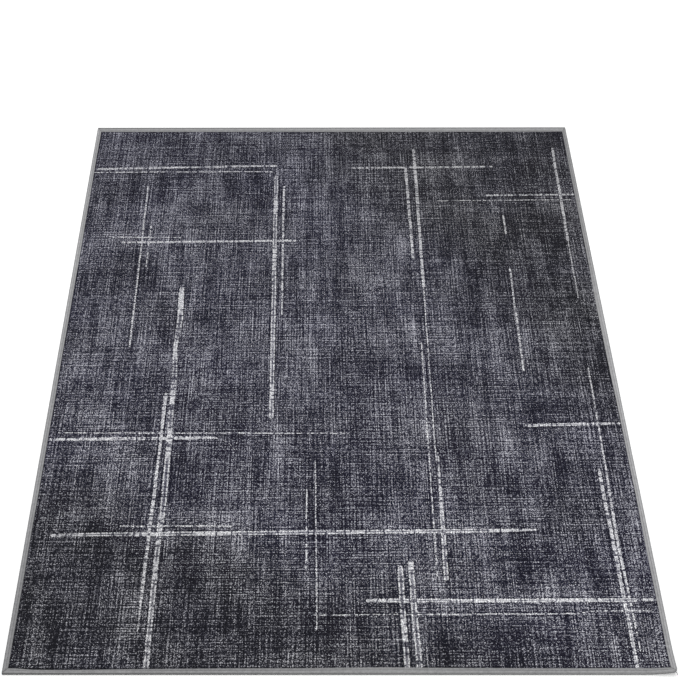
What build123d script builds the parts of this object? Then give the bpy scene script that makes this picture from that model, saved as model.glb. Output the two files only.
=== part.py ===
"""A rectangular fabric-faced chair mat with a sewn binding tape round its edge.

The mat lies flat on the floor. X is its width, Y is its length with the near side at -Y, and Z is up.
The origin is at the middle of the mat, on the floor. All sizes are in millimetres.
"""
from build123d import *
import os

# Overall size
MAT_WIDTH = 1200.0
MAT_LENGTH = 1600.0

# The laminate, from the floor up
BACKING_THICKNESS = 1.5
FILM_THICKNESS = 0.1
FELT_THICKNESS = 1.9
FACE_THICKNESS = 1.4

# The binding tape: a strip folded round the edge, with one flange above the mat and one below it
TAPE_THICKNESS = 0.5
TAPE_REACH = {"near": 10.5, "right": 10.5, "far": 19.0, "left": 10.5}
TAPE_PROUD = 0.2
TAPE_OUTER_RADIUS = 1.6
TAPE_INNER_CHAMFER = 0.65

# The seam: one row of lockstitch, whose threads lie in shallow grooves in the two flanges, set in from
# the flanges' inner edges
SEAM_INSET = 4.2
THREAD_WIDTH = 0.6
THREAD_HEIGHT = 0.35
GROOVE_DEPTH = 0.25

# The sewn-in care label on the underside, caught in the far seam
LABEL_WIDTH = 50.0
LABEL_LENGTH = 38.0
LABEL_THICKNESS = 0.25
LABEL_TUCK = 6.0
LABEL_FROM_LEFT = 120.0

# Levels of the laminate
lower_film_z = BACKING_THICKNESS
felt_z = lower_film_z + FILM_THICKNESS
upper_film_z = felt_z + FELT_THICKNESS
face_z = upper_film_z + FILM_THICKNESS
face_top = face_z + FACE_THICKNESS
tape_top = face_top + TAPE_PROUD
upper_flange_z = tape_top - TAPE_THICKNESS

# Plan sizes: the layers end inside the tape's fold, and the open field starts where the flanges end
layer_width = MAT_WIDTH - 2 * TAPE_THICKNESS
layer_length = MAT_LENGTH - 2 * TAPE_THICKNESS
field_left = TAPE_REACH["left"] - MAT_WIDTH / 2
field_near = TAPE_REACH["near"] - MAT_LENGTH / 2
field_width = MAT_WIDTH - TAPE_REACH["left"] - TAPE_REACH["right"]
field_length = MAT_LENGTH - TAPE_REACH["near"] - TAPE_REACH["far"]

SIDES = ("near", "right", "far", "left")


def side_section(side):
    """A side's section plane, with x inwards and y up, and the side's length along the plane's normal."""
    turn = 90 * SIDES.index(side)
    inward = Vector(0, 1, 0).rotate(Axis.Z, turn)
    along = Vector(1, 0, 0).rotate(Axis.Z, turn)
    depth, length = (MAT_LENGTH, MAT_WIDTH) if side in ("near", "far") else (MAT_WIDTH, MAT_LENGTH)
    return Plane(origin=inward * (-depth / 2), x_dir=inward, z_dir=along), length


def mitre_planes(side, section, length):
    """The planes at a side's two ends, each from the outer corner to the inner one, facing outwards."""
    planes = []
    for end in (1, -1):
        neighbour = SIDES[(SIDES.index(side) + end) % len(SIDES)]
        corner = section.origin + section.z_dir * (end * length / 2)
        facing = section.x_dir * TAPE_REACH[neighbour] + section.z_dir * (end * TAPE_REACH[side])
        planes.append(Plane(origin=corner, z_dir=facing))
    return planes


os.makedirs("parts", exist_ok=True)

# The face fabric: full height in the open field, and pressed thinner under the tape
with BuildPart() as face_fabric:
    with BuildSketch(Plane.XY.offset(face_z)):
        Rectangle(layer_width, layer_length)
    extrude(amount=upper_flange_z - face_z)
    chamfer(face_fabric.edges().group_by(Axis.Z)[-1], length=TAPE_INNER_CHAMFER)
    with BuildSketch(Plane.XY.offset(upper_flange_z)):
        with Locations((field_left, field_near)):
            Rectangle(field_width, field_length, align=(Align.MIN, Align.MIN))
    extrude(amount=face_top - upper_flange_z)
face_fabric.part.label = "face_fabric"
export_step(face_fabric.part, "parts/face_fabric.step")

# The felt layer and the two films that bond it to its neighbours, each a plain sheet
inner_layers = {
    "upper_adhesive_film": (upper_film_z, FILM_THICKNESS),
    "cushion_felt": (felt_z, FELT_THICKNESS),
    "lower_adhesive_film": (lower_film_z, FILM_THICKNESS),
}
for name, (level, thickness) in inner_layers.items():
    with BuildPart() as layer:
        with BuildSketch(Plane.XY.offset(level)):
            Rectangle(layer_width, layer_length)
        extrude(amount=thickness)
    layer.part.label = name
    export_step(layer.part, f"parts/{name}.step")

# The care label: a flat panel on the floor side, with its end tucked above the far side's lower flange
label_x = LABEL_FROM_LEFT + LABEL_WIDTH / 2 - MAT_WIDTH / 2
label_seam_y = MAT_LENGTH / 2 - TAPE_REACH["far"]
label_panel_y = label_seam_y - LABEL_LENGTH
label_step_y = label_seam_y - LABEL_THICKNESS
label_tuck_y = label_seam_y + LABEL_TUCK
label_tuck_top = TAPE_THICKNESS + LABEL_THICKNESS
with BuildPart() as care_label:
    with BuildSketch(Plane(origin=(label_x, 0, 0), x_dir=(0, 1, 0), z_dir=(1, 0, 0))):
        with BuildLine():
            Polyline(
                (label_panel_y, 0),
                (label_seam_y, 0),
                (label_seam_y, TAPE_THICKNESS),
                (label_tuck_y, TAPE_THICKNESS),
                (label_tuck_y, label_tuck_top),
                (label_step_y, label_tuck_top),
                (label_step_y, LABEL_THICKNESS),
                (label_panel_y, LABEL_THICKNESS),
                close=True,
            )
        make_face()
    extrude(amount=LABEL_WIDTH / 2, both=True)
care_label.part.label = "care_label"
export_step(care_label.part, "parts/care_label.step")

# The rubber backing: flush with the floor in the open field, stepped up to clear the lower flanges,
# and hollowed to the label's own shape
with BuildPart() as grip_backing:
    with BuildSketch(Plane.XY.offset(TAPE_THICKNESS)):
        Rectangle(layer_width, layer_length)
    extrude(amount=BACKING_THICKNESS - TAPE_THICKNESS)
    chamfer(grip_backing.edges().group_by(Axis.Z)[0], length=TAPE_INNER_CHAMFER)
    with BuildSketch():
        with Locations((field_left, field_near)):
            Rectangle(field_width, field_length, align=(Align.MIN, Align.MIN))
    extrude(amount=TAPE_THICKNESS)
    add(care_label.part, mode=Mode.SUBTRACT)
grip_backing.part.label = "grip_backing"
export_step(grip_backing.part, "parts/grip_backing.step")

# The binding: for each side a strip of tape, the needle thread on top of it and the bobbin thread below.
# Each is one section run along the side, with its ends mitred where it meets the next side's.
threads = {
    "needle_thread": (tape_top - GROOVE_DEPTH, THREAD_HEIGHT),
    "bobbin_thread": (0.0, GROOVE_DEPTH),
}
for side in SIDES:
    section, side_length = side_section(side)
    ends = mitre_planes(side, section, side_length)
    reach = TAPE_REACH[side]
    seam_reach = reach - SEAM_INSET

    with BuildPart() as tape:
        with BuildSketch(section) as tape_section:
            Rectangle(reach, tape_top, align=(Align.MIN, Align.MIN))
            fillet(tape_section.vertices().group_by(Axis.X)[0], radius=TAPE_OUTER_RADIUS)
            with BuildLine():
                Polyline(
                    (reach, TAPE_THICKNESS),
                    (TAPE_THICKNESS + TAPE_INNER_CHAMFER, TAPE_THICKNESS),
                    (TAPE_THICKNESS, TAPE_THICKNESS + TAPE_INNER_CHAMFER),
                    (TAPE_THICKNESS, upper_flange_z - TAPE_INNER_CHAMFER),
                    (TAPE_THICKNESS + TAPE_INNER_CHAMFER, upper_flange_z),
                    (reach, upper_flange_z),
                    close=True,
                )
            make_face(mode=Mode.SUBTRACT)
            with Locations((seam_reach, 0)):
                Rectangle(THREAD_WIDTH, GROOVE_DEPTH, align=(Align.CENTER, Align.MIN), mode=Mode.SUBTRACT)
            with Locations((seam_reach, tape_top)):
                Rectangle(THREAD_WIDTH, GROOVE_DEPTH, align=(Align.CENTER, Align.MAX), mode=Mode.SUBTRACT)
        extrude(amount=side_length / 2, both=True)
        for end in ends:
            split(bisect_by=end, keep=Keep.BOTTOM)
    tape.part.label = f"binding_{side}"
    export_step(tape.part, f"parts/binding_{side}.step")

    for thread_name, (level, height) in threads.items():
        with BuildPart() as thread:
            with BuildSketch(section):
                with Locations((seam_reach, level)):
                    Rectangle(THREAD_WIDTH, height, align=(Align.CENTER, Align.MIN))
            extrude(amount=side_length / 2, both=True)
            for end in ends:
                split(bisect_by=end, keep=Keep.BOTTOM)
        thread.part.label = f"{thread_name}_{side}"
        export_step(thread.part, f"parts/{thread_name}_{side}.step")
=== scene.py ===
"""Looks of the fabric-faced chair mat: its woven print, its sewn binding, its backing and its light.

Everything is in metres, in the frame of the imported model: X across the mat, Y along it with the near
side at -Y, Z up from the floor.
"""

import math

import bpy
import numpy as np
from mathutils import Matrix, Vector


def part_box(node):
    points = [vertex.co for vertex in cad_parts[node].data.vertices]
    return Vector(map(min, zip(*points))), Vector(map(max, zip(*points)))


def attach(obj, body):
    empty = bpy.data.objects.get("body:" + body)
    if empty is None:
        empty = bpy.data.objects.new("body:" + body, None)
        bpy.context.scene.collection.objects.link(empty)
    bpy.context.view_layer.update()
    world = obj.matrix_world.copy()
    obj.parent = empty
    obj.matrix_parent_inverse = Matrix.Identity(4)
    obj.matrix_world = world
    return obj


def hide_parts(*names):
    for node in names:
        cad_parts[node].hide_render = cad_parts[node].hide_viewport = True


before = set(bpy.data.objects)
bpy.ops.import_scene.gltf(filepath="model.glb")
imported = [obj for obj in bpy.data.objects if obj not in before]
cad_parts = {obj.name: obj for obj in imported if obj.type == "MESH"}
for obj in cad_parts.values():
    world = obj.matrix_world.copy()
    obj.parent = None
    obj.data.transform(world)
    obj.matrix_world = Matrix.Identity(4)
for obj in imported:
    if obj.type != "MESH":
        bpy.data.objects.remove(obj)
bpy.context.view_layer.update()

MM = 0.001

# ------------------------------------------------------------
# Sizes taken from the frame

SIDES = ("near", "right", "far", "left")


def lowest(node):
    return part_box(node)[0]


def highest(node):
    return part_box(node)[1]


HALF_WIDTH = highest("binding_near").x
HALF_LENGTH = highest("binding_right").y
TAPE_TOP = highest("binding_near").z
TAPE_REACH = {
    "near": highest("binding_near").y - lowest("binding_near").y,
    "right": highest("binding_right").x - lowest("binding_right").x,
    "far": highest("binding_far").y - lowest("binding_far").y,
    "left": highest("binding_left").x - lowest("binding_left").x,
}
SEAM_CENTRE = (lowest("needle_thread_near").y + highest("needle_thread_near").y) / 2
SEAM_INSET = TAPE_REACH["near"] - (SEAM_CENTRE + HALF_LENGTH)
LAYER_INSET = HALF_WIDTH - highest("face_fabric").x
FACE_BOTTOM = lowest("face_fabric").z
FACE_TOP = highest("face_fabric").z
BACKING_TOP = highest("grip_backing").z

TAPE_THICKNESS = 0.45 * MM

# ------------------------------------------------------------
# The mat's lie: every piece is built square and flat, then settled by the same function

CORNER_RADIUS = 1.5 * MM
CURLED_CORNER_RADIUS = 8 * MM
CURL_LIFT = 7.0 * MM
CURL_REACH = 60 * MM
CURL_BEND = 1.5
OUT_OF_SQUARE = 1.8 * MM


def settle(points):
    """Rounds the corners in plan, curls the near right one up and pulls the far right one in a little."""
    x, y, z = np.array(points, float).T
    curled = (x > 0) & (y < 0)
    radius = np.where(curled, CURLED_CORNER_RADIUS, CORNER_RADIUS)
    over_x = np.abs(x) - (HALF_WIDTH - radius)
    over_y = np.abs(y) - (HALF_LENGTH - radius)
    both = (over_x > 0) & (over_y > 0)
    shrink = np.ones(len(x))
    shrink[both] = np.maximum(over_x, over_y)[both] / np.hypot(over_x, over_y)[both]
    x = np.where(both, np.sign(x) * (HALF_WIDTH - radius + over_x * shrink), x)
    y = np.where(both, np.sign(y) * (HALF_LENGTH - radius + over_y * shrink), y)
    away = (HALF_WIDTH - x) + (y + HALF_LENGTH)
    rise = CURL_LIFT * np.clip(1 - away / CURL_REACH, 0, 1) ** CURL_BEND
    share_right, share_far = (x / HALF_WIDTH + 1) / 2, (y / HALF_LENGTH + 1) / 2
    return np.stack([x, y - OUT_OF_SQUARE * share_right * share_far, z + rise], 1)


def make_object(name, points, faces, material, shades=None):
    """A smooth mesh object from points in the mat's square, flat layout, with each point's own shade."""
    mesh = bpy.data.meshes.new(name)
    mesh.from_pydata(settle(points).tolist(), [], faces)
    mesh.polygons.foreach_set("use_smooth", [True] * len(mesh.polygons))
    mesh.materials.append(material)
    if shades is not None:
        layer = mesh.attributes.new("shade", "FLOAT", "POINT")
        layer.data.foreach_set("value", np.asarray(shades, np.float32).ravel())
    mesh.update()
    piece = bpy.data.objects.new(name, mesh)
    bpy.context.scene.collection.objects.link(piece)
    return piece


def tube(rings):
    """Points and faces of a closed tube: each ring is a row of points."""
    around, along = len(rings[0]), len(rings)
    points = np.array(rings).reshape(-1, 3)
    faces = []
    for i in range(along - 1):
        for k in range(around):
            a, b = i * around + k, i * around + (k + 1) % around
            faces.append((a, b, b + around, a + around))
    faces.append(tuple(range(around - 1, -1, -1)))
    faces.append(tuple((along - 1) * around + k for k in range(around)))
    return points, faces


def joined(parts):
    """Several (points, faces) as one."""
    points, faces, start = [], [], 0
    for part_points, part_faces in parts:
        points.append(part_points)
        faces += [tuple(start + index for index in face) for face in part_faces]
        start += len(part_points)
    return np.concatenate(points), faces


def grid_rim(nx, ny):
    """The indices round the edge of an nx by ny grid, in order."""
    rim = [i * ny for i in range(nx)]
    rim += [(nx - 1) * ny + j for j in range(1, ny)]
    rim += [i * ny + ny - 1 for i in range(nx - 2, -1, -1)]
    rim += [j for j in range(ny - 2, 0, -1)]
    return rim


def grid_solid(xs, ys, top, bottom):
    """Points and faces of a closed sheet over a grid: top and bottom give its two heights at each point."""
    nx, ny = len(xs), len(ys)
    gx, gy = np.meshgrid(xs, ys, indexing="ij")
    upper = np.stack([gx, gy, top(gx, gy)], -1).reshape(-1, 3)
    lower = np.stack([gx, gy, bottom(gx, gy)], -1).reshape(-1, 3)
    faces = []
    count = nx * ny
    for i in range(nx - 1):
        for j in range(ny - 1):
            a, b, c, d = i * ny + j, (i + 1) * ny + j, (i + 1) * ny + j + 1, i * ny + j + 1
            faces.append((a, b, c, d))
            faces.append((count + d, count + c, count + b, count + a))
    rim = grid_rim(nx, ny)
    for a, b in zip(rim, rim[1:] + rim[:1]):
        faces.append((b, a, count + a, count + b))
    return np.concatenate([upper, lower]), faces


def grid_lines(half, low_margins, high_margins, step):
    """Grid coordinates across a layer: close lines near its two edges and even steps between."""
    low = [margin - half for margin in low_margins]
    high = [half - margin for margin in high_margins]
    count = max(2, round((high[-1] - low[-1]) / step))
    middle = np.linspace(low[-1], high[-1], count + 1)
    return np.concatenate([low[:-1], middle, high[:-1][::-1]])


def level(height):
    """A grid surface at one height."""
    return lambda x, y: np.full_like(x, height)


def field_distance(x, y):
    """How far a point is inside the open field of the face: negative under the tape."""
    across = np.minimum(x + HALF_WIDTH - TAPE_REACH["left"], HALF_WIDTH - TAPE_REACH["right"] - x)
    along = np.minimum(y + HALF_LENGTH - TAPE_REACH["near"], HALF_LENGTH - TAPE_REACH["far"] - y)
    return np.minimum(across, along)


def smoothstep(low, high, value):
    t = np.clip((value - low) / (high - low), 0, 1)
    return t * t * (3 - 2 * t)


# ------------------------------------------------------------
# Shader node helper

# Tones are screen values from 0 to 1, turned into linear colour by a power
SCREEN_POWER = 2.2
DARKEST = 0.02


class Nodes:
    """Builds one material's node tree. Numbers and sockets are both accepted as inputs."""

    def __init__(self, name):
        self.material = bpy.data.materials.new(name)
        self.material.use_nodes = True
        self.tree = self.material.node_tree
        self.tree.nodes.clear()
        self.shader = self.tree.nodes.new("ShaderNodeBsdfPrincipled")
        output = self.tree.nodes.new("ShaderNodeOutputMaterial")
        self.tree.links.new(self.shader.outputs["BSDF"], output.inputs["Surface"])

    def feed(self, socket, value):
        if isinstance(value, bpy.types.NodeSocket):
            self.tree.links.new(value, socket)
        elif isinstance(value, tuple):
            socket.default_value = value[:len(socket.default_value)]
        else:
            socket.default_value = value

    def math(self, operation, a, b=0.0):
        node = self.tree.nodes.new("ShaderNodeMath")
        node.operation = operation
        self.feed(node.inputs[0], a)
        self.feed(node.inputs[1], b)
        return node.outputs[0]

    def add(self, *terms):
        total = terms[0]
        for term in terms[1:]:
            total = self.math("ADD", total, term)
        return total

    def times(self, *factors):
        total = factors[0]
        for factor in factors[1:]:
            total = self.math("MULTIPLY", total, factor)
        return total

    def scaled(self, value, factor, offset):
        node = self.tree.nodes.new("ShaderNodeMath")
        node.operation = "MULTIPLY_ADD"
        for socket, item in zip(node.inputs, (value, factor, offset)):
            self.feed(socket, item)
        return node.outputs[0]

    def blend(self, share, a, b):
        """a where the share is 0, and b where it is 1."""
        return self.add(self.times(share, b), self.times(self.math("SUBTRACT", 1.0, share), a))

    def best(self, operation, values):
        best = values[0]
        for value in values[1:]:
            best = self.math(operation, best, value)
        return best

    def largest(self, values):
        return self.best("MAXIMUM", values)

    def smallest(self, values):
        return self.best("MINIMUM", values)

    def step(self, value, low, high):
        """0 below low and 1 above high, smooth between. A low above high turns it round."""
        node = self.tree.nodes.new("ShaderNodeMapRange")
        node.interpolation_type = "SMOOTHSTEP"
        self.feed(node.inputs["Value"], value)
        node.inputs["From Min"].default_value = min(low, high)
        node.inputs["From Max"].default_value = max(low, high)
        node.inputs["To Min"].default_value = 0.0 if low < high else 1.0
        node.inputs["To Max"].default_value = 1.0 if low < high else 0.0
        return node.outputs["Result"]

    def vector(self, x, y, z=0.0):
        node = self.tree.nodes.new("ShaderNodeCombineXYZ")
        for socket, value in zip(node.inputs, (x, y, z)):
            self.feed(socket, value)
        return node.outputs[0]

    def noise(self, vector, scale=1.0, detail=1.0, roughness=0.5, dimensions="2D"):
        node = self.tree.nodes.new("ShaderNodeTexNoise")
        node.noise_dimensions = dimensions
        self.feed(node.inputs["Vector"], vector)
        node.inputs["Scale"].default_value = scale
        node.inputs["Detail"].default_value = detail
        node.inputs["Roughness"].default_value = roughness
        return node.outputs["Fac"]

    def random(self, vector):
        node = self.tree.nodes.new("ShaderNodeTexWhiteNoise")
        node.noise_dimensions = "2D"
        self.feed(node.inputs["Vector"], vector)
        return node.outputs["Value"]

    def shaded(self, value, colour):
        """A colour scaled by a plain value."""
        node = self.tree.nodes.new("ShaderNodeVectorMath")
        node.operation = "SCALE"
        self.feed(node.inputs[0], colour)
        self.feed(node.inputs["Scale"], value)
        return node.outputs[0]

    def ramp(self, value, stops):
        """Two curves over one value from 0 to 1: stops are rows of (position, first, second)."""
        node = self.tree.nodes.new("ShaderNodeValToRGB")
        self.feed(node.inputs[0], value)
        elements = node.color_ramp.elements
        while len(elements) < len(stops):
            elements.new(1.0)
        for element, stop in zip(elements, stops):
            element.position = stop[0]
        for element, stop in zip(elements, stops):
            element.color = (stop[1], stop[2], 0.0, 1.0)
        split = self.tree.nodes.new("ShaderNodeSeparateColor")
        self.feed(split.inputs[0], node.outputs["Color"])
        return split.outputs[0], split.outputs[1]

    def attribute(self, name):
        node = self.tree.nodes.new("ShaderNodeAttribute")
        node.attribute_name = name
        return node.outputs["Fac"]

    def toned(self, values):
        """The linear colour of three screen values."""
        node = self.tree.nodes.new("ShaderNodeCombineColor")
        for socket, value in zip(node.inputs, values):
            self.feed(socket, self.math("POWER", self.math("MAXIMUM", value, DARKEST), SCREEN_POWER))
        return node.outputs[0]

    def place(self):
        """The point's own place, as a vector."""
        return self.tree.nodes.new("ShaderNodeTexCoord").outputs["Object"]

    def parts(self, vector):
        """A vector's x, y and z."""
        node = self.tree.nodes.new("ShaderNodeSeparateXYZ")
        self.feed(node.inputs[0], vector)
        return tuple(node.outputs)

    def bump(self, height, distance, strength):
        node = self.tree.nodes.new("ShaderNodeBump")
        node.inputs["Strength"].default_value = strength
        node.inputs["Distance"].default_value = distance
        self.feed(node.inputs["Height"], height)
        self.feed(self.shader.inputs["Normal"], node.outputs["Normal"])

    def finish(self, colour, roughness, specular):
        self.feed(self.shader.inputs["Base Color"], colour)
        self.shader.inputs["Roughness"].default_value = roughness
        self.shader.inputs["Specular IOR Level"].default_value = specular
        return self.material


def linear(r, g, b):
    """A colour given as screen values from 0 to 1, as the linear colour that a shader takes."""
    out = [c / 12.92 if c <= 0.04045 else ((c + 0.055) / 1.055) ** 2.4 for c in (r, g, b)]
    return (*out, 1.0)


# ------------------------------------------------------------
# The printed face

YARN = 1.42 * MM

# The brush-like strokes of the print, each a row of (place along it, place across it, width there), in
# millimetres. Lengthwise strokes run from the far edge, and their place across is from the left edge.
LENGTHWISE = [
    [(235, 149, 3.2), (790, 153.5, 3.6)],
    [(385, 168, 2.8), (530, 168, 2.8)],
    [(598, 255.5, 8), (620, 255.7, 12), (700, 258.5, 12), (790, 254, 8), (850, 257.5, 10), (1000, 258, 10),
     (1150, 260, 11), (1250, 259.5, 11), (1300, 257, 9.5), (1400, 256.4, 9.5), (1600, 256.2, 9.5)],
    [(925, 243, 5), (935, 243, 7.5), (1050, 241.5, 5), (1150, 240.7, 5.5), (1250, 238.5, 7), (1400, 236, 5),
     (1470, 234.7, 2.5), (1515, 234.5, 1.5)],
    [(200, 462, 9), (996, 467, 9.5)],
    [(240, 482, 5), (690, 484, 3)],
    [(92, 807, 7), (600, 804, 6)],
    [(165, 783, 6.5), (505, 785, 6)],
    [(600, 804, 2), (1110, 802, 1.8)],
    [(770, 790, 2.5), (1392, 787, 2.5)],
    [(1090, 806.5, 2.5), (1180, 806, 5), (1260, 805, 8), (1400, 803.5, 9.5)],
    [(350, 1008, 3.8), (432, 1008, 3.8)],
    [(535, 1006, 4), (862, 1004, 4)],
    [(90, 1156, 6), (440, 1152, 6)],
    [(440, 1152, 2.5), (640, 1150, 2.5)],
    [(852, 1143.5, 3), (1130, 1141, 3.5), (1300, 1137, 5.5), (1400, 1139, 5), (1500, 1141, 3),
     (1556, 1142, 2)],
    [(1132, 1127, 5), (1145, 1127, 6.5), (1230, 1127, 6.5), (1300, 1128.6, 6.5), (1600, 1131, 6.5)],
    [(1110, 558, 2.2), (1510, 561, 2.2)],
    [(1185, 541, 2.8), (1380, 541, 2.8)],
    [(1370, 718, 9), (1385, 718, 10), (1600, 722, 10)],
    [(1358, 738, 10.5), (1600, 744, 10.5)],
]
# Crosswise strokes run from the left edge, and their place across is from the far edge.
CROSSWISE = [
    [(8, 171, 6.8), (462, 159, 6.8)],
    [(8, 184, 3.3), (452, 182, 3.3)],
    [(640, 168, 6.5), (998, 164, 6.5)],
    [(972, 276, 5.6), (1192, 272, 5.6)],
    [(852, 296, 2.5), (1176, 292, 2.5)],
    [(80, 427.5, 3.2), (242, 428.5, 3.2)],
    [(104, 446, 6), (512, 440, 6.5)],
    [(30, 1036, 2.5), (628, 1038, 2.5)],
    [(8, 1054, 6.5), (150, 1052.5, 7.5), (300, 1050, 7.5), (345, 1049, 5), (362, 1052, 2), (382, 1064, 1.5),
     (400, 1090, 1)],
    [(988, 1016, 4), (1000, 1017, 7), (1150, 1012, 7), (1190, 1011, 4)],
    [(48, 1297, 6), (120, 1295, 8), (300, 1293, 9.7), (900, 1285.5, 8.5), (986, 1284, 4)],
    [(180, 1274.6, 2.6), (396, 1274.6, 3)],
    [(652, 1447, 6), (700, 1446.5, 8), (1152, 1445, 8)],
    [(1164, 1445, 6), (1192, 1444, 6)],
    [(552, 1478, 2.2), (900, 1475, 2.5), (1040, 1475, 2.5), (1065, 1469, 2.5), (1175, 1469, 2.5)],
]
# The print's soft light and dark patches, as (place from the left edge, from the far edge, width, length)
LIGHT_PATCHES = [
    (890, 160, 80, 80), (275, 260, 70, 70), (960, 330, 80, 110), (160, 390, 140, 150),
    (790, 460, 110, 100), (1175, 520, 60, 280), (535, 770, 70, 130), (300, 785, 110, 90),
    (165, 780, 100, 70), (50, 830, 80, 80), (730, 745, 110, 80), (860, 805, 90, 60),
    (1010, 770, 160, 80), (770, 985, 60, 140), (265, 1040, 80, 80), (955, 1085, 80, 130),
    (165, 1130, 60, 190), (490, 1120, 60, 110), (245, 1280, 80, 110), (390, 1260, 90, 190),
    (495, 1250, 50, 110), (820, 1275, 90, 90), (1180, 1300, 60, 260), (745, 1450, 90, 160),
    (1080, 1440, 160, 60), (220, 1440, 60, 150),
]
DARK_PATCHES = [
    (230, 120, 110, 130), (200, 220, 60, 80), (345, 105, 100, 80), (400, 240, 120, 140),
    (90, 260, 110, 110), (1030, 140, 110, 190), (1150, 70, 100, 70), (1065, 360, 100, 120),
    (885, 460, 70, 80), (960, 550, 70, 90), (1110, 570, 70, 190), (140, 550, 90, 120),
    (310, 600, 70, 100), (915, 680, 90, 150), (1140, 690, 90, 60), (550, 675, 130, 60),
    (640, 860, 140, 120), (780, 845, 60, 70), (1030, 930, 110, 130), (1150, 860, 90, 90),
    (205, 940, 120, 120), (385, 1040, 70, 200), (840, 1070, 70, 90), (285, 1150, 60, 120),
    (555, 1130, 70, 150), (650, 1140, 120, 90), (600, 1225, 150, 80), (1060, 1165, 90, 130),
    (40, 1180, 60, 110), (150, 1330, 100, 110), (110, 1470, 110, 180), (310, 1390, 70, 110),
    (960, 1330, 100, 130), (1105, 1380, 60, 110), (460, 1500, 340, 70), (790, 1530, 60, 110),
    (920, 1530, 80, 70),
]
# The two soft edges of the print's broad band, from the far left to the near right, which is lighter and
# bluer: each edge lies across the direction with the first two numbers as its x and y, and the others are
# the places along that direction, in metres, where the band is left and where it is reached
BAND_EDGES = ((0.424, 0.906, -0.70, -0.45), (0.83, 0.557, 0.50, 0.26))

# The yarns' slubs and dashes, and how far a slub is set off from the yarns two places away
SLUBS_PER_METRE = 7
DASHES_PER_METRE = 260
WARP_SEEDS = (7.31, 3.77)
WEFT_SEEDS = (5.17, 4.43)
SET_OFF = 0.24

# Blotches: what the upright and the flat ones, the band and the patches each add, and how far the patches'
# sides wander. A cloud's cells are so many a metre across the mat, and so many along it.
UPRIGHT_CELLS = (30, 7)
UPRIGHT_WEIGHT = 1.05
FLAT_CELLS = (7, 26)
FLAT_WEIGHT = 0.40
BAND_WEIGHT = 0.16
BLOTCH_OFFSET = -0.84
PATCH_STRENGTH = 0.19
PATCH_FADE = (2.4, 0.2)
PATCH_WANDER = 40 * MM
BRUSH_CELLS = (8, 50)

# Strokes: in millimetres, the rounding at their ends and the range of depth that their curves hold
STROKE_CAP = 5.0
STROKE_SPAN = 16.0
STROKE_OUTSIDE = 10.0
STROKE_SWAY = 1 * MM
SWAY_CELLS = (4, 12)
RAGGED = 0.7 * MM
INK_EDGE = (-0.5 * MM, 0.5 * MM)
HALO = (-9 * MM, -2.5 * MM)
TICK_CELLS = (45, 170)
TICK_EDGE = (0.34, 0.42)
TICK_DEPTH = 0.68
SPLIT_CELLS = (9, 9)
SPLIT_EDGE = (0.44, 0.52)
SPLIT_WITHIN = (2.4 * MM, 3.4 * MM)
SPLIT_DEPTH = 0.6

# Flecks: what each layer adds to their density, and how sharply they stand out of the ground
SLUB_WEIGHT = 2.05
DASH_WEIGHT = 0.75
BLOTCH_WEIGHT = 0.85
HALO_WEIGHT = 0.15
SPECK_WEIGHT = 1.7
PLY_SPECK_WEIGHT = 1.5
FLECK_RANGE = (-1.0, 1.5)
FLECK_SHARPNESS = 3.2

# Tones of the ground and of the ink: the darkest, and what else adds to it
GROUND_TONE = 0.08
BLOTCH_TONE = 0.03
FLECK_TONE = 0.74
INK_TONE = 0.375
INK_FLECK_TONE = 0.14
INK_SPECK_TONE = 0.40
INK_PLY_TONE = 0.27
# Painted shade beside the binding, where the face is pressed under the tape: the span it falls over, and
# how deep it darkens
CREASE = (-1 * MM, 4 * MM)
CREASE_SHADE_DEPTH = 0.45

# The print's tone by the place along the mat and by the band, as (change, start)
TONE_ALONG = (-0.08, 0.93)
TONE_IN_BAND = (0.07, 0.93)

# Its slight blue: everywhere, in the band and in soft clouds, and how tone and ink change it
BLUE = 0.0115
BAND_BLUE = 0.0085
CLOUD_BLUE = 0.008
BLUE_CELLS = (6, 6)
BLUE_BY_TONE = (-1.2, 1.70)
BLUE_BY_COVER = (-0.5, 1.0)


def stroke_depth(n, along, across, knots):
    """How deep a point lies inside one stroke, in metres: negative outside it."""
    first, last = knots[0][0] - STROKE_CAP, knots[-1][0] + STROKE_CAP
    base = min(knot[1] for knot in knots)
    spread = max(1.0, max(knot[1] for knot in knots) - base)
    stops = [(0.0, (knots[0][1] - base) / spread, 0.0)]
    for place, centre, width in knots:
        share = (place - first) / (last - first)
        stops.append((share, (centre - base) / spread, (width / 2 + STROKE_OUTSIDE) / STROKE_SPAN))
    stops.append((1.0, (knots[-1][1] - base) / spread, 0.0))
    share = n.scaled(along, 1 / ((last - first) * MM), -first / (last - first))
    centre, room = n.ramp(share, stops)
    away = n.math("ABSOLUTE", n.math("SUBTRACT", across, n.scaled(centre, spread * MM, base * MM)))
    return n.math("SUBTRACT", n.scaled(room, STROKE_SPAN * MM, -STROKE_OUTSIDE * MM), away)


def strokes(n, rows, along, across):
    """The depth inside the nearest of a set of strokes."""
    return n.largest([stroke_depth(n, along, across, knots) for knots in rows])


def patches(n, rows, across, along):
    """1 inside any of a set of soft oval patches, and 0 outside them."""
    ovals = []
    for from_left, from_far, width, length in rows:
        dx = n.scaled(across, 2 / (width * MM), -2 * from_left / width)
        dy = n.scaled(along, 2 / (length * MM), -2 * from_far / length)
        ovals.append(n.add(n.times(dx, dx), n.times(dy, dy)))
    return n.step(n.smallest(ovals), *PATCH_FADE)


def cloud(n, place, across, along, detail=1.0):
    """Soft noise with so many cells a metre across the mat, and so many along it."""
    x, y = place
    return n.noise(n.vector(n.times(x, across), n.times(y, along)), detail=detail)


def yarn_noise(n, yarn, along, seed, cells, is_weft, shift=0):
    """Each yarn's own light and dark along its length, or that of the yarn so many places further on."""
    spot = (n.scaled(yarn, seed, seed * shift), n.times(along, cells))
    return n.noise(n.vector(*reversed(spot)) if is_weft else n.vector(*spot))


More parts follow.
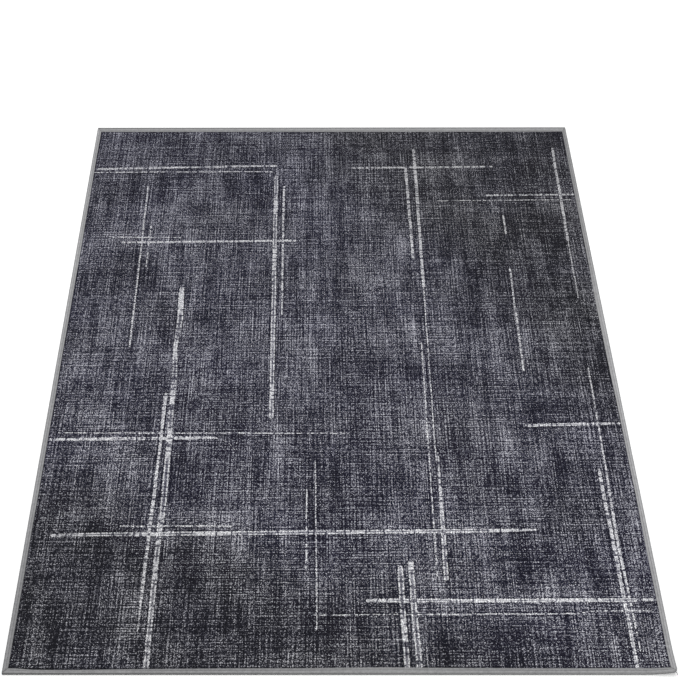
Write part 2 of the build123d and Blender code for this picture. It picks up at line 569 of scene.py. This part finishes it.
def yarn_tones(n, warp, weft, x, y):
    """Both sets of yarns' long slubs, set off from their neighbours', and short dashes, about 0."""
    slubs, dashes = [], []
    yarns = ((warp, y, False, *WARP_SEEDS), (weft, x, True, *WEFT_SEEDS))
    for yarn, along, is_weft, slub_seed, dash_seed in yarns:
        own, above, below = (
            yarn_noise(n, yarn, along, slub_seed, SLUBS_PER_METRE, is_weft, shift) for shift in (0, 2, -2))
        slubs.append(n.scaled(n.add(above, below), -SET_OFF, n.add(own, SET_OFF)))
        dashes.append(yarn_noise(n, yarn, along, dash_seed, DASHES_PER_METRE, is_weft))
    return n.add(*slubs, -1.0), n.add(*dashes, -1.0)


def broad_band(n, x, y):
    """1 inside the print's broad diagonal band, and 0 outside it."""
    edges = []
    for x_share, y_share, outside, inside in BAND_EDGES:
        edges.append(n.step(n.add(n.times(x, x_share), n.times(y, y_share)), outside, inside))
    return n.times(*edges)


def blotches(n, place, left, down, band):
    """The soft lights and darks of the ground, with straight brushed sides."""
    brushed_x = n.scaled(cloud(n, place, *BRUSH_CELLS), 2 * PATCH_WANDER, -PATCH_WANDER)
    brushed_y = n.scaled(cloud(n, place, *reversed(BRUSH_CELLS)), 2 * PATCH_WANDER, -PATCH_WANDER)
    patch_place = (n.add(left, brushed_x), n.add(down, brushed_y))
    light = patches(n, LIGHT_PATCHES, *patch_place)
    dark = patches(n, DARK_PATCHES, *patch_place)
    patch = n.math("SUBTRACT", light, dark)
    upright, flat = cloud(n, place, *UPRIGHT_CELLS), cloud(n, place, *FLAT_CELLS)
    return n.add(
        n.times(upright, UPRIGHT_WEIGHT),
        n.times(flat, FLAT_WEIGHT),
        n.scaled(band, BAND_WEIGHT, BLOTCH_OFFSET),
        n.times(patch, PATCH_STRENGTH),
    )


def ink_cover(n, place, speck, lengthwise, crosswise):
    """How much the ink covers: ragged at its sides, broken by dark ticks, in places split lengthwise."""
    depth = n.math("MAXIMUM", lengthwise, crosswise)
    ink = n.step(n.add(depth, n.scaled(speck, 2 * RAGGED, -RAGGED)), *INK_EDGE)
    warp_tick = n.step(cloud(n, place, *TICK_CELLS, detail=0.0), *TICK_EDGE)
    weft_tick = n.step(cloud(n, place, *reversed(TICK_CELLS), detail=0.0), *TICK_EDGE)
    tick = n.blend(n.math("GREATER_THAN", crosswise, lengthwise), warp_tick, weft_tick)
    split = n.times(n.step(depth, *SPLIT_WITHIN), n.step(cloud(n, place, *SPLIT_CELLS), *SPLIT_EDGE))
    return n.times(ink, n.scaled(tick, TICK_DEPTH, 1 - TICK_DEPTH), n.scaled(split, -SPLIT_DEPTH, 1.0))


def crease_shade(n, x, y):
    """Painted shade beside the binding: 1 in the open field, falling where the face is pressed under the
    tape.
    """
    from_sides = n.math("SUBTRACT", HALF_WIDTH - TAPE_REACH["left"], n.math("ABSOLUTE", x))
    from_near = n.add(y, HALF_LENGTH - TAPE_REACH["near"])
    from_far = n.math("SUBTRACT", HALF_LENGTH - TAPE_REACH["far"], y)
    inside = n.smallest([from_sides, from_near, from_far])
    return n.scaled(n.step(inside, *CREASE), CREASE_SHADE_DEPTH, 1 - CREASE_SHADE_DEPTH)


def print_colour(n, place, tone, band, cover):
    """From tone to colour: charcoal with a slight blue, stronger in its darks and weaker in the ink."""
    soft = n.scaled(cloud(n, place, *BLUE_CELLS), CLOUD_BLUE, -CLOUD_BLUE / 2)
    blue = n.add(n.scaled(band, BAND_BLUE, BLUE), soft)
    blue = n.times(blue, n.scaled(tone, *BLUE_BY_TONE), n.scaled(cover, *BLUE_BY_COVER))
    red_and_green = n.math("SUBTRACT", tone, blue)
    return n.toned((red_and_green, red_and_green, n.add(tone, blue)))


def weave_relief(n, warp, weft, x, y):
    """The weave's height: warp and weft yarns pass over each other in turn."""
    across = n.math("PINGPONG", n.times(x, 1 / YARN), 0.5)
    along = n.math("PINGPONG", n.times(y, 1 / YARN), 0.5)
    parity = n.math("MODULO", n.math("ABSOLUTE", n.add(warp, weft)), 2.0)
    return n.blend(parity, along, across)


def face_material():
    n = Nodes("printed_face")
    x, y, _ = n.parts(n.place())
    place = (x, y)
    left = n.add(x, HALF_WIDTH)
    down = n.math("SUBTRACT", HALF_LENGTH, y)

    warp = n.math("FLOOR", n.times(x, 1 / YARN))
    weft = n.math("FLOOR", n.times(y, 1 / YARN))
    slubs, dashes = yarn_tones(n, warp, weft, x, y)
    speck = n.random(n.vector(warp, weft))
    warp_ply = n.math("FLOOR", n.times(x, 2 / YARN))
    weft_ply = n.math("FLOOR", n.times(y, 2 / YARN))
    ply_speck = n.random(n.vector(warp_ply, weft_ply))
    band = broad_band(n, x, y)
    blotch = blotches(n, place, left, down, band)

    sway_left = n.scaled(cloud(n, place, *SWAY_CELLS), 2 * STROKE_SWAY, -STROKE_SWAY)
    sway_down = n.scaled(cloud(n, place, *reversed(SWAY_CELLS)), 2 * STROKE_SWAY, -STROKE_SWAY)
    lengthwise = strokes(n, LENGTHWISE, down, n.add(left, sway_left))
    crosswise = strokes(n, CROSSWISE, left, n.add(down, sway_down))
    halo = n.step(n.math("MAXIMUM", lengthwise, crosswise), *HALO)
    cover = ink_cover(n, place, speck, lengthwise, crosswise)

    # Light flecks, denser along the light slubs and in the light blotches
    density = n.add(
        n.times(slubs, SLUB_WEIGHT),
        n.times(dashes, DASH_WEIGHT),
        n.times(blotch, BLOTCH_WEIGHT),
        n.times(halo, -HALO_WEIGHT),
        n.times(n.add(speck, -0.5), SPECK_WEIGHT),
        n.times(n.add(ply_speck, -0.5), PLY_SPECK_WEIGHT),
    )
    fleck = n.math("POWER", n.step(density, *FLECK_RANGE), FLECK_SHARPNESS)
    ground = n.add(GROUND_TONE, n.times(blotch, BLOTCH_TONE), n.times(fleck, FLECK_TONE))
    ink = n.add(
        INK_TONE,
        n.times(fleck, INK_FLECK_TONE),
        n.times(speck, INK_SPECK_TONE),
        n.times(ply_speck, INK_PLY_TONE),
    )
    tone = n.blend(cover, ground, ink)

    # The print is a little paler towards the near side and in the band, and darker beside the binding with
    # painted shade
    tone = n.times(tone, n.scaled(y, *TONE_ALONG), n.scaled(band, *TONE_IN_BAND), crease_shade(n, x, y))
    n.bump(weave_relief(n, warp, weft, x, y), distance=0.2 * MM, strength=0.6)
    return n.finish(print_colour(n, place, tone, band, cover), 0.92, specular=0.25)


def plain_material(name, colour, roughness, grain=0.0, grain_scale=900.0, has_shades=False):
    n = Nodes(name)
    speckle = n.noise(n.place(), scale=grain_scale, detail=2, dimensions="3D")
    shade = n.add(1.0 - grain * 0.5, n.times(speckle, grain))
    if has_shades:
        shade = n.times(shade, n.attribute("shade"))
    n.bump(speckle, distance=0.1 * MM, strength=0.4)
    return n.finish(n.shaded(shade, colour), roughness, specular=0.3)


RIB_PITCH = 0.9 * MM
# The tape's tone, and what its mottling, wear, grain and ribs add to it
TAPE_TONE = 0.53
MOTTLE_TONE = 0.18
WEAR_TONE = 0.08
GRAIN_TONE = 0.22
RIB_TONE = 0.08


def tape_material():
    n = Nodes("binding_tape")
    where = n.place()
    rib = n.math("PINGPONG", n.times(n.add(*n.parts(where)), 1 / RIB_PITCH), 0.5)
    mottle = n.noise(where, scale=150, detail=3, roughness=0.6, dimensions="3D")
    wear = n.noise(where, scale=2.5, dimensions="3D")
    grain = n.noise(where, scale=900, dimensions="3D")
    tone = n.add(
        TAPE_TONE,
        n.times(n.add(mottle, -0.5), MOTTLE_TONE),
        n.times(n.add(wear, -0.5), WEAR_TONE),
        n.times(n.add(grain, -0.5), GRAIN_TONE),
        n.times(rib, RIB_TONE),
    )
    # Each point's painted light and shade darkens or lightens the tape
    tone = n.times(tone, n.attribute("shade"))
    n.bump(n.add(rib, n.times(grain, 0.5)), distance=0.12 * MM, strength=0.5)
    colour = n.toned((tone, tone, n.times(tone, 1.01)))
    return n.finish(colour, 0.85, specular=0.3)


# ------------------------------------------------------------
# Face, inner layers and backing

# How far below the tape the face lies under the seam, and at the tape's inner edge
PRESSED_DEPTH = 0.75 * MM
LIP_DEPTH = 0.05 * MM


def face_height(x, y):
    """The face's top: pressed down under the seam, easing up to full height just inside the tape."""
    inside = field_distance(x, y)
    pressed = TAPE_TOP - TAPE_THICKNESS - PRESSED_DEPTH
    lip = TAPE_TOP - TAPE_THICKNESS - LIP_DEPTH
    height = pressed + (lip - pressed) * smoothstep(-4.5 * MM, -1.5 * MM, inside)
    return height + (FACE_TOP - lip) * smoothstep(-1.0 * MM, 5 * MM, inside)


def layer_grid(steps_inside, step):
    """Grid lines of a layer, with close lines at the given distances inside the open field's edges."""
    def margins(side):
        reach = TAPE_REACH[side]
        return [LAYER_INSET] + [reach + distance * MM for distance in steps_inside]

    xs = grid_lines(HALF_WIDTH, margins("left"), margins("right"), step)
    ys = grid_lines(HALF_LENGTH, margins("near"), margins("far"), step)
    return xs, ys


def layer(name, material, steps_inside, step, top, bottom):
    points, faces = grid_solid(*layer_grid(steps_inside, step), top, bottom)
    return make_object(name, points, faces, material)


binding = tape_material()
felt = plain_material("felt", linear(0.45, 0.45, 0.46), 0.95, grain=0.5)
film = plain_material("film", linear(0.75, 0.74, 0.70), 0.5, grain=0.1)
rubber = plain_material("rubber", linear(0.17, 0.17, 0.18), 0.7, grain=0.25, has_shades=True)
thread = plain_material("thread", linear(0.47, 0.47, 0.48), 0.8, grain=0.3, grain_scale=2500)
ribbon = plain_material("ribbon", linear(0.90, 0.90, 0.88), 0.6, grain=0.1)

# Places of close grid lines, in millimetres inside the open field's edge
FACE_LINES = (-7, -5.5, -4.5, -3.5, -2.5, -1.5, -0.5, 0.5, 1.5, 3, 5, 8, 13)
LAYER_LINES = (-5, 5)
FACE_GRID = 9 * MM
LAYER_GRID = 15 * MM

pieces = {
    "face_fabric": layer(
        "printed_face_sheet", face_material(), FACE_LINES, FACE_GRID, face_height, level(FACE_BOTTOM)),
}
inner_layers = {"upper_adhesive_film": film, "cushion_felt": felt, "lower_adhesive_film": film}
for node, material in inner_layers.items():
    top, bottom = level(highest(node).z), level(lowest(node).z)
    pieces[node] = layer(f"{node}_sheet", material, LAYER_LINES, LAYER_GRID, top, bottom)

# ------------------------------------------------------------
# Care label: flat on the floor side, with its end tucked above the far side's lower flange

LABEL_THICKNESS = 0.25 * MM
label_low, label_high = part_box("care_label")


def label_bottom(x, y):
    flange = HALF_LENGTH - TAPE_REACH["far"]
    return (label_high.z - LABEL_THICKNESS) * smoothstep(flange - 2.5 * MM, flange - 0.3 * MM, y)


def label_top(x, y):
    return label_bottom(x, y) + LABEL_THICKNESS


def make_label():
    xs = np.linspace(label_low.x, label_high.x, 26)
    ys = np.linspace(label_low.y, label_high.y, 60)
    return make_object("care_label_ribbon", *grid_solid(xs, ys, label_top, label_bottom), ribbon)


pieces["care_label"] = make_label()

# ------------------------------------------------------------
# Backing: a rubber sheet with moulded studs, which leave room for the label

STUD_HEIGHT = 0.76 * MM
STUD_PITCH = 20 * MM
STUD_FOOT = 4.2 * MM
STUD_TIP = 3.2 * MM
STUD_SIDES = 8
# Painted highlight on the stud tips, which shows their relief
TIP_HIGHLIGHT = 1.7


def near_label(x, y):
    clear = 1 * MM
    return (label_low.x - clear < x < label_high.x + clear) and (label_low.y - clear < y)


def stud_points(middle_x, middle_y):
    """The ring round a stud's foot, and then the ring round its tip."""
    points = []
    for radius, height in ((STUD_FOOT, STUD_HEIGHT), (STUD_TIP, 0.0)):
        for k in range(STUD_SIDES):
            angle = 2 * math.pi * (k + 0.5) / STUD_SIDES
            x, y = middle_x + radius * math.cos(angle), middle_y + radius * math.sin(angle)
            points.append((x, y, height))
    return points


def stud_faces(start, corners):
    """A stud's faces and those of the cell round it, from its first point and the cell's four corners."""
    foot = [start + k for k in range(STUD_SIDES)]
    tip = [start + STUD_SIDES + k for k in range(STUD_SIDES)]
    faces = [(foot[2 * k], foot[2 * k + 1], corner) for k, corner in enumerate(corners)]
    for k, corner in enumerate(corners):
        after = (k + 1) % len(corners)
        faces.append((foot[2 * k + 1], foot[2 * after], corners[after], corner))
    for k in range(STUD_SIDES):
        after = (k + 1) % STUD_SIDES
        faces.append((tip[k], tip[after], foot[after], foot[k]))
    faces.append(tuple(reversed(tip)))
    return faces


def make_backing():
    """One closed sheet: flat on top, and below it a square cell for each stud."""
    xs, ys = layer_grid((3,), STUD_PITCH)
    nx, ny = len(xs), len(ys)
    gx, gy = np.meshgrid(xs, ys, indexing="ij")
    count = nx * ny
    points = [(x, y, BACKING_TOP) for x, y in zip(gx.ravel(), gy.ravel())]
    points += [(x, y, STUD_HEIGHT) for x, y in zip(gx.ravel(), gy.ravel())]
    shades = [1.0] * len(points)
    faces = []
    for i in range(nx - 1):
        for j in range(ny - 1):
            a, b, c, d = i * ny + j, (i + 1) * ny + j, (i + 1) * ny + j + 1, i * ny + j + 1
            faces.append((a, b, c, d))
            middle_x, middle_y = (xs[i] + xs[i + 1]) / 2, (ys[j] + ys[j + 1]) / 2
            reach = STUD_FOOT + STUD_TIP
            in_field = 0 < i < nx - 2 and 0 < j < ny - 2
            blocked = any(near_label(middle_x + dx * reach, middle_y + dy * reach)
                          for dx in (-1, 0, 1) for dy in (-1, 0, 1))
            if not in_field or blocked:
                faces.append((count + d, count + c, count + b, count + a))
                continue
            start = len(points)
            points += stud_points(middle_x, middle_y)
            # The tips are painted lighter than the feet: a painted highlight for the studs' relief
            shades += [1.0] * STUD_SIDES + [TIP_HIGHLIGHT] * STUD_SIDES
            faces += stud_faces(start, (count + c, count + d, count + a, count + b))
    rim = grid_rim(nx, ny)
    for a, b in zip(rim, rim[1:] + rim[:1]):
        faces.append((b, a, count + a, count + b))
    return make_object("grip_backing_sheet", points, faces, rubber, shades)


pieces["grip_backing"] = make_backing()

# ------------------------------------------------------------
# Binding tape: a strip along each side, folded round the edge and sewn through

STITCH_PITCH = 4.0 * MM
ROLL_RADIUS = 2.6 * MM
UNDER_RADIUS = 0.8 * MM
# Painted shade round the outer edge, darkest low on its underside, by the angle in degrees above the middle
# of the edge and then below it
ROLL_SHADES = ((75, 1.0), (60, 0.98), (45, 0.93), (30, 0.84), (15, 0.74), (0, 0.64))
UNDER_SHADES = ((20, 0.51), (40, 0.45), (60, 0.45), (80, 0.62), (90, 0.75))
FLANGE_SHADE = 0.95


def tape_profile(reach):
    """The tape's section, as a closed loop of (inset from the outline, height, painted shade, is it on
    top).
    """
    top, wall = TAPE_TOP, TAPE_THICKNESS
    middle = 0.5 * top
    seam = reach - SEAM_INSET
    # The inner edge, the top flange and the roll down the outer edge, with painted shade at the inner edge
    # and down the roll
    loop = [
        (reach, top - wall, 0.9, 1),
        (reach + 0.05 * MM, top - 0.5 * wall, FLANGE_SHADE, 1),
        (reach - 0.2 * MM, top, 1.0, 1),
        (reach - 0.9 * MM, top, 1.0, 1),
        (reach - 1.8 * MM, top, 1.0, 1),
    ]
    for from_seam in (1.4, 0.9, 0.45, 0.0, -0.45, -0.9, -1.5):
        loop.append((seam + from_seam * MM, top, 1.0, 1))
    for inset in np.linspace(seam - 2.3 * MM, ROLL_RADIUS, 4):
        loop.append((inset, top, 1.0, 1))
    for angle, shade in ROLL_SHADES:
        turn = math.radians(angle)
        height = middle + (top - middle) * math.sin(turn)
        loop.append((ROLL_RADIUS * (1 - math.cos(turn)), height, shade, int(angle > 30)))
    for angle, shade in UNDER_SHADES:
        turn = math.radians(angle)
        loop.append((UNDER_RADIUS * (1 - math.cos(turn)), middle - middle * math.sin(turn), shade, 0))
    # The lower flange, with the bobbin thread's groove, and then the inside of the fold
    for from_seam, height in ((-0.9, 0.0), (-0.4, 0.2), (0.4, 0.2), (0.9, 0.0)):
        loop.append((seam + from_seam * MM, height * MM, FLANGE_SHADE, 0))
    inside = [
        (reach, 0.0, 0),
        (reach, wall, 0),
        (1.2 * MM, wall, 0),
        (wall, 1.2 * MM, 0),
        (wall, top - 1.4 * MM, 0),
        (1.4 * MM, top - wall - 0.1 * MM, 1),
        (2.6 * MM, top - wall, 1),
    ]
    for from_seam in (-1.5, -0.8, 0.0, 0.8, 1.5):
        inside.append((seam + from_seam * MM, top - wall, 1))
    inside.append((reach - 1 * MM, top - wall, 1))
    loop += [(inset, height, FLANGE_SHADE, on_top) for inset, height, on_top in inside]
    return [np.array(column) for column in zip(*loop)]


GROOVE_SPREAD = 0.8 * MM
HOLE_SHARE = 0.45


def seam_groove(from_seam, station):
    """How far the stitches pull the tape's top down, from 0 to 1, deepest at each needle hole."""
    hole = 0.5 + 0.5 * np.cos(2 * math.pi * station / STITCH_PITCH)
    return np.exp(-((from_seam / GROOVE_SPREAD) ** 2)) * (1 - HOLE_SHARE + HOLE_SHARE * hole ** 3)


# Where a side's tape reaches further in or less far, as rows of (place along it in metres, half the length
# of the stretch, how much further in millimetres), and how the far side's reach tapers along it
SWELLS = {
    "near": ((-0.48, 0.16, -3.4), (0.08, 0.15, 1.6), (0.45, 0.15, 0.5)),
    "right": ((0.12, 0.2, 2.0),),
}
FAR_EXTRA = 0.65
FAR_TAPER = 0.8


def reach_change(side, station):
    """How the tape's reach over the face wanders along a side, in metres."""
    phase = 1.7 * SIDES.index(side)
    wave = 0.25 * np.sin(station * 11 + phase) + 0.2 * np.sin(station * 27 + 2 * phase)
    for middle, spread, more in SWELLS.get(side, ()):
        wave = wave + more * np.exp(-(((station - middle) / spread) ** 2))
    if side == "far":
        wave = wave + FAR_EXTRA - FAR_TAPER * station
    return wave * MM


def side_layout(side):
    """Maps a side's own (station, inset, height) to the mat, and gives the side's half length."""
    turn = math.pi / 2 * SIDES.index(side)
    cos, sin = round(math.cos(turn)), round(math.sin(turn))
    half, depth = (HALF_WIDTH, HALF_LENGTH) if side in ("near", "far") else (HALF_LENGTH, HALF_WIDTH)

    def to_mat(station, inset, height):
        flat_x, flat_y = station, inset - depth
        return np.stack([cos * flat_x - sin * flat_y, sin * flat_x + cos * flat_y, height], -1)

    return to_mat, half


# Each side's painted light and shade at places along it, lighter on the right side and darker at the near
# left, as rows of (x or y in metres, tone)
SIDE_LIGHT_AND_SHADE = {
    "near": ((-0.5, 0.93), (0.1, 0.94), (0.5, 0.97)),
    "right": ((-0.68, 1.08), (-0.38, 1.09), (0.12, 1.05), (0.65, 0.92)),
    "far": ((-0.5, 0.96), (0.5, 0.99)),
    "left": ((-0.68, 0.91), (-0.38, 1.01), (0.12, 1.045), (0.65, 1.04)),
}
# Painted shade on each side's outer rim: how much darker it is, and how far in the dark goes
SIDE_RIM_SHADE = {
    "near": (0.0, 3 * MM),
    "right": (0.11, 3.5 * MM),
    "far": (0.6, 6.5 * MM),
    "left": (0.09, 3.5 * MM),
}
MITRE_SHARES = (0.3, 0.6, 0.85, 1.0)
MITRE_SHADES = (1.0, 1.0, 0.97, 0.80)
# Painted shade in the stitches' groove
GROOVE_SHADE = 0.18
NEAR_UNDERSIDE_SHADE_GRADIENT = 0.4
# The painted highlight along the tape's crest, by its inset and spread, and the painted shade of its inner
# edge
CREST_HIGHLIGHT = 0.05
CREST_INSET = 5 * MM
CREST_SPREAD = 1.8 * MM
INNER_EDGE_SHADE = 0.07
INNER_WIDTH = 4 * MM
# How high the tape swells outside its seam and inside it, and how deep the stitches pull it down
ROLL_HEIGHT = 0.30 * MM
LIP_HEIGHT = 0.08 * MM
GROOVE_DEPTH = 0.5 * MM


def tape_stations(side, half, insets):
    """Each ring's places along a side, mitred at both ends to the open field's corners, and its shade."""
    reach = TAPE_REACH[side]
    index = SIDES.index(side)
    before, after = TAPE_REACH[SIDES[index - 1]], TAPE_REACH[SIDES[(index + 1) % len(SIDES)]]
    square_part = half - max(before, after) - 3 * MM
    count = round(2 * square_part / (STITCH_PITCH / 4))
    mitre = list(zip(MITRE_SHARES, MITRE_SHADES))
    rings = []
    for share, shade in reversed(mitre):
        rings.append((-square_part - share * (half - insets * before / reach - square_part), shade))
    for station in np.linspace(-square_part, square_part, count + 1):
        rings.append((np.full(len(insets), station), 1.0))
    for share, shade in mitre:
        rings.append((square_part + share * (half - insets * after / reach - square_part), shade))
    stations, ring_shades = zip(*rings)
    return np.array(stations), np.array(ring_shades)[:, None]


def tape_shade(side, place, inset, on_top, groove):
    """The painted light and shade of each point of a side's tape, apart from its section's own painted
    shade.
    """
    reach = TAPE_REACH[side]
    rim, rim_width = SIDE_RIM_SHADE[side]
    shade = 1 - GROOVE_SHADE * groove
    shade *= np.interp(place, *zip(*SIDE_LIGHT_AND_SHADE[side]))
    shade *= 1 - on_top * rim * (1 - smoothstep(0.4 * rim_width, rim_width, inset))
    shade *= 1 + on_top * CREST_HIGHLIGHT * np.exp(-((inset - CREST_INSET) / CREST_SPREAD) ** 2)
    shade *= 1 - on_top * INNER_EDGE_SHADE * smoothstep(reach - INNER_WIDTH, reach, inset)
    # Painted shade on the near fold's underside, darker towards its left end and lighter towards its right
    if side == "near":
        shade *= 1 + (1 - on_top) * NEAR_UNDERSIDE_SHADE_GRADIENT * place
    return shade


def tape_strip(side):
    """One side's tape, from the outline's corners to the open field's."""
    to_mat, half = side_layout(side)
    reach = TAPE_REACH[side]
    seam = reach - SEAM_INSET
    insets, heights, shades, on_top = tape_profile(reach)
    station, ring_shades = tape_stations(side, half, insets)
    inset = np.broadcast_to(insets, station.shape).copy()
    height = np.broadcast_to(heights, station.shape).copy()
    groove = seam_groove(inset - seam, station) * on_top
    roll = np.sin(math.pi * np.clip(inset / seam, 0, 1)) ** 2
    lip = np.sin(math.pi * np.clip((inset - seam) / SEAM_INSET, 0, 1)) ** 2
    height += on_top * (ROLL_HEIGHT * roll + LIP_HEIGHT * lip) - groove * GROOVE_DEPTH
    place = to_mat(station, inset, height)[..., 0 if side in ("near", "far") else 1]
    shade = shades * ring_shades * tape_shade(side, place, inset, on_top, groove)
    # The inner edge wanders, but neither the outer edge nor the mitred corners do
    fade = smoothstep(half - 15 * MM, half - 60 * MM, np.abs(station))
    give = smoothstep(0.0, 6 * MM, inset) * np.clip(inset / reach, 0, 1)
    inset += give * reach_change(side, station) * fade
    points, faces = tube(to_mat(station, inset, height))
    return make_object(f"binding_{side}_tape", points, faces, binding, shade)


for side in SIDES:
    pieces[f"binding_{side}"] = tape_strip(side)

# ------------------------------------------------------------
# Seam threads

NEEDLE_RADIUS = 0.24 * MM
BOBBIN_RADIUS = 0.2 * MM
THREAD_SIDES = 6
TAIL_PIECE = "needle_stitches_near"
TAIL_RADIUS = 0.75 * MM
# The tail's way, in millimetres from the mat's near right corner
TAIL_ROUTE = ((-9, 3, 3.5), (-5.5, 0, 4), (-2.5, -1.5, 3.8), (-0.8, -3.5, 2.8), (0, -6.5, 1.2))
# A stitch's line, as (share of its pitch along the seam, lift in thread radii), and how much of the pitch
# it fills
STITCH_SHAPE = [(-0.5, -0.9), (-0.42, 0.1), (-0.2, 0.75), (0.0, 0.9), (0.2, 0.75), (0.42, 0.1), (0.5, -0.9)]
STITCH_FILL = 0.97


def stitch_row(side, name, centre_height, bulge, radius):
    """One row of stitches: each is a short bulged run of thread that dives into the tape at both ends."""
    to_mat, half = side_layout(side)
    seam = TAPE_REACH[side] - SEAM_INSET
    last = math.floor((half - 2 * seam) / STITCH_PITCH)
    angles = 2 * math.pi * np.arange(THREAD_SIDES) / THREAD_SIDES
    stitches = []
    for index in range(-last, last):
        middle = (index + 0.5) * STITCH_PITCH
        rings = []
        for share, lift in STITCH_SHAPE:
            station = np.full(THREAD_SIDES, middle + share * STITCH_PITCH * STITCH_FILL)
            height = centre_height + bulge * lift * radius + radius * np.sin(angles)
            rings.append(to_mat(station, seam + radius * np.cos(angles), height))
        stitches.append(tube(rings))
    if name == TAIL_PIECE:
        stitches.append(thread_tail())
    return make_object(name, *joined(stitches), thread)


def thread_tail():
    """The loose end of thread that hangs off the near right corner."""
    route = [Vector(point) * MM for point in TAIL_ROUTE]
    corner = Vector((HALF_WIDTH, -HALF_LENGTH, 0))
    rings = []
    for before, here, after in zip([route[0]] + route[:-1], route, route[1:] + [route[-1]]):
        ahead = (after - before).normalized()
        side_way = ahead.cross(Vector((0, 0, 1))).normalized()
        up_way = ahead.cross(side_way)
        rings.append([
            corner + here + TAIL_RADIUS * (math.cos(angle) * side_way + math.sin(angle) * up_way)
            for angle in np.linspace(0, 2 * math.pi, THREAD_SIDES, endpoint=False)
        ])
    return tube(rings)


for side in SIDES:
    pieces[f"needle_thread_{side}"] = stitch_row(
        side, f"needle_stitches_{side}", TAPE_TOP - 0.28 * MM, 1.0, NEEDLE_RADIUS)
    pieces[f"bobbin_thread_{side}"] = stitch_row(
        side, f"bobbin_stitches_{side}", 0.24 * MM, -0.1, BOBBIN_RADIUS)

# ------------------------------------------------------------
# Every piece stands for its node

for node, piece in pieces.items():
    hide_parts(node)
    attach(piece, "root")

# ------------------------------------------------------------
# Floor, light and camera

FLOOR_SIZE = 30.0
FLOOR_LAP = 1.5 * MM
FLOOR_GLOW = 0.12
WORLD_STRENGTH = 0.80


def floor_material():
    """White, and clear from below, so that a view from under the floor shows the mat's underside."""
    n = Nodes("studio_floor")
    material = n.finish((0.97, 0.97, 0.97, 1.0), 0.9, specular=0.1)
    n.shader.inputs["Emission Color"].default_value = (1.0, 1.0, 1.0, 1.0)
    n.shader.inputs["Emission Strength"].default_value = FLOOR_GLOW
    clear = n.tree.nodes.new("ShaderNodeBsdfTransparent")
    pick = n.tree.nodes.new("ShaderNodeMixShader")
    geometry = n.tree.nodes.new("ShaderNodeNewGeometry")
    n.tree.links.new(geometry.outputs["Backfacing"], pick.inputs[0])
    n.tree.links.new(n.shader.outputs["BSDF"], pick.inputs[1])
    n.tree.links.new(clear.outputs["BSDF"], pick.inputs[2])
    output = next(node for node in n.tree.nodes if node.type == "OUTPUT_MATERIAL")
    n.tree.links.new(pick.outputs[0], output.inputs["Surface"])
    return material


def make_floor():
    """A wide floor, left open under the mat, whose underside is then lit in a view from below."""
    mesh = bpy.data.meshes.new("studio_floor")
    wide, long, curl = HALF_WIDTH - FLOOR_LAP, HALF_LENGTH - FLOOR_LAP, CURL_LIFT
    outer = [(-1, -1), (1, -1), (1, 1), (-1, 1)]
    points = [(x * FLOOR_SIZE, y * FLOOR_SIZE, 0) for x, y in outer]
    points += [
        (-wide, -long, 0), (wide - CURL_REACH, -long, 0), (wide - curl, curl - long, 0),
        (wide, CURL_REACH - long, 0), (wide, long, 0), (-wide, long, 0),
    ]
    faces = [(0, 1, 5, 4), (1, 6, 5), (1, 7, 6), (1, 2, 8, 7), (2, 3, 9, 8), (3, 0, 4, 9)]
    mesh.from_pydata(points, [], faces)
    mesh.materials.append(floor_material())
    floor = bpy.data.objects.new("studio_floor", mesh)
    bpy.context.scene.collection.objects.link(floor)


def area_light(name, location, size, power):
    """A square light that faces the middle of the mat."""
    light = bpy.data.lights.new(name, "AREA")
    light.shape = "SQUARE"
    light.size = size
    light.energy = power
    lamp = bpy.data.objects.new(name, light)
    lamp.location = location
    lamp.rotation_mode = "QUATERNION"
    lamp.rotation_quaternion = (-Vector(location)).to_track_quat("-Z", "Y")
    bpy.context.scene.collection.objects.link(lamp)


def make_world(strength):
    world = bpy.data.worlds.new("studio")
    world.use_nodes = True
    background = world.node_tree.nodes["Background"]
    background.inputs["Color"].default_value = (1.0, 1.0, 1.0, 1.0)
    background.inputs["Strength"].default_value = strength
    bpy.context.scene.world = world


# The camera's angles in degrees, its place in metres, and its lens in millimetres
CAMERA_TILT = 45.326
CAMERA_YAW = 0.416
CAMERA_ROLL = -0.359
CAMERA_HEIGHT = 2.211
CAMERA_BACK = 1.345
CAMERA_SIDE = -0.0404
CAMERA_LENS = 75.12
CAMERA_SHIFT = 0.0455

camera_data = bpy.data.cameras.new("camera")
camera_data.lens = CAMERA_LENS
camera_data.shift_x = CAMERA_SHIFT
camera = bpy.data.objects.new("camera", camera_data)
camera.location = (CAMERA_SIDE, -HALF_LENGTH - CAMERA_BACK, CAMERA_HEIGHT)
turn = Matrix.Rotation(math.radians(CAMERA_YAW), 4, "Z")
turn = turn @ Matrix.Rotation(math.radians(90 - CAMERA_TILT), 4, "X")
turn = turn @ Matrix.Rotation(math.radians(CAMERA_ROLL), 4, "Z")
camera.rotation_euler = turn.to_euler()
bpy.context.scene.collection.objects.link(camera)
bpy.context.scene.camera = camera

make_floor()
make_world(WORLD_STRENGTH)
area_light("overhead", location=(0.0, 0.6, 3.2), size=3.5, power=62)
area_light("underneath", location=(-1.6, -1.2, -1.2), size=1.0, power=30)
bpy.context.scene.view_settings.view_transform = "Standard"
